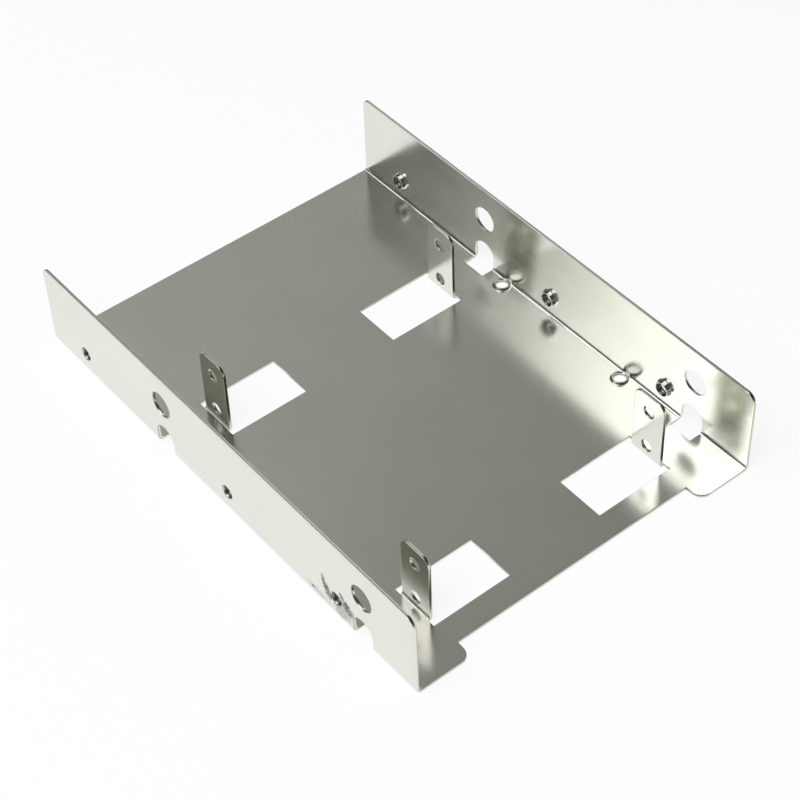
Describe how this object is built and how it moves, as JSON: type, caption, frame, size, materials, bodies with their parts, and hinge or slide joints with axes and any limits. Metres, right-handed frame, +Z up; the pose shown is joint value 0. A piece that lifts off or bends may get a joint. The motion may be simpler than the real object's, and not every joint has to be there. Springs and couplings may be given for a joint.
{
  "type": "drive bay adapter bracket",
  "caption": "Folded sheet steel tray that takes the outside of a large drive and holds small drives one above the other between upright tabs.",
  "frame": {"origin": "under the middle of the tray, on the plane of its underside", "axes": "+X across the tray to the right wall, +Y along the tray to its closed straight far end, away from the ears, +Z up out of the tray"},
  "size_m": [0.1016, 0.1452, 0.025],
  "materials": {
    "plated_steel": "bright plated sheet steel, smooth and fairly shiny"
  },
  "bodies": {
    "root": {"bracket_tray": "plated_steel"}
  },
  "joints": []
}
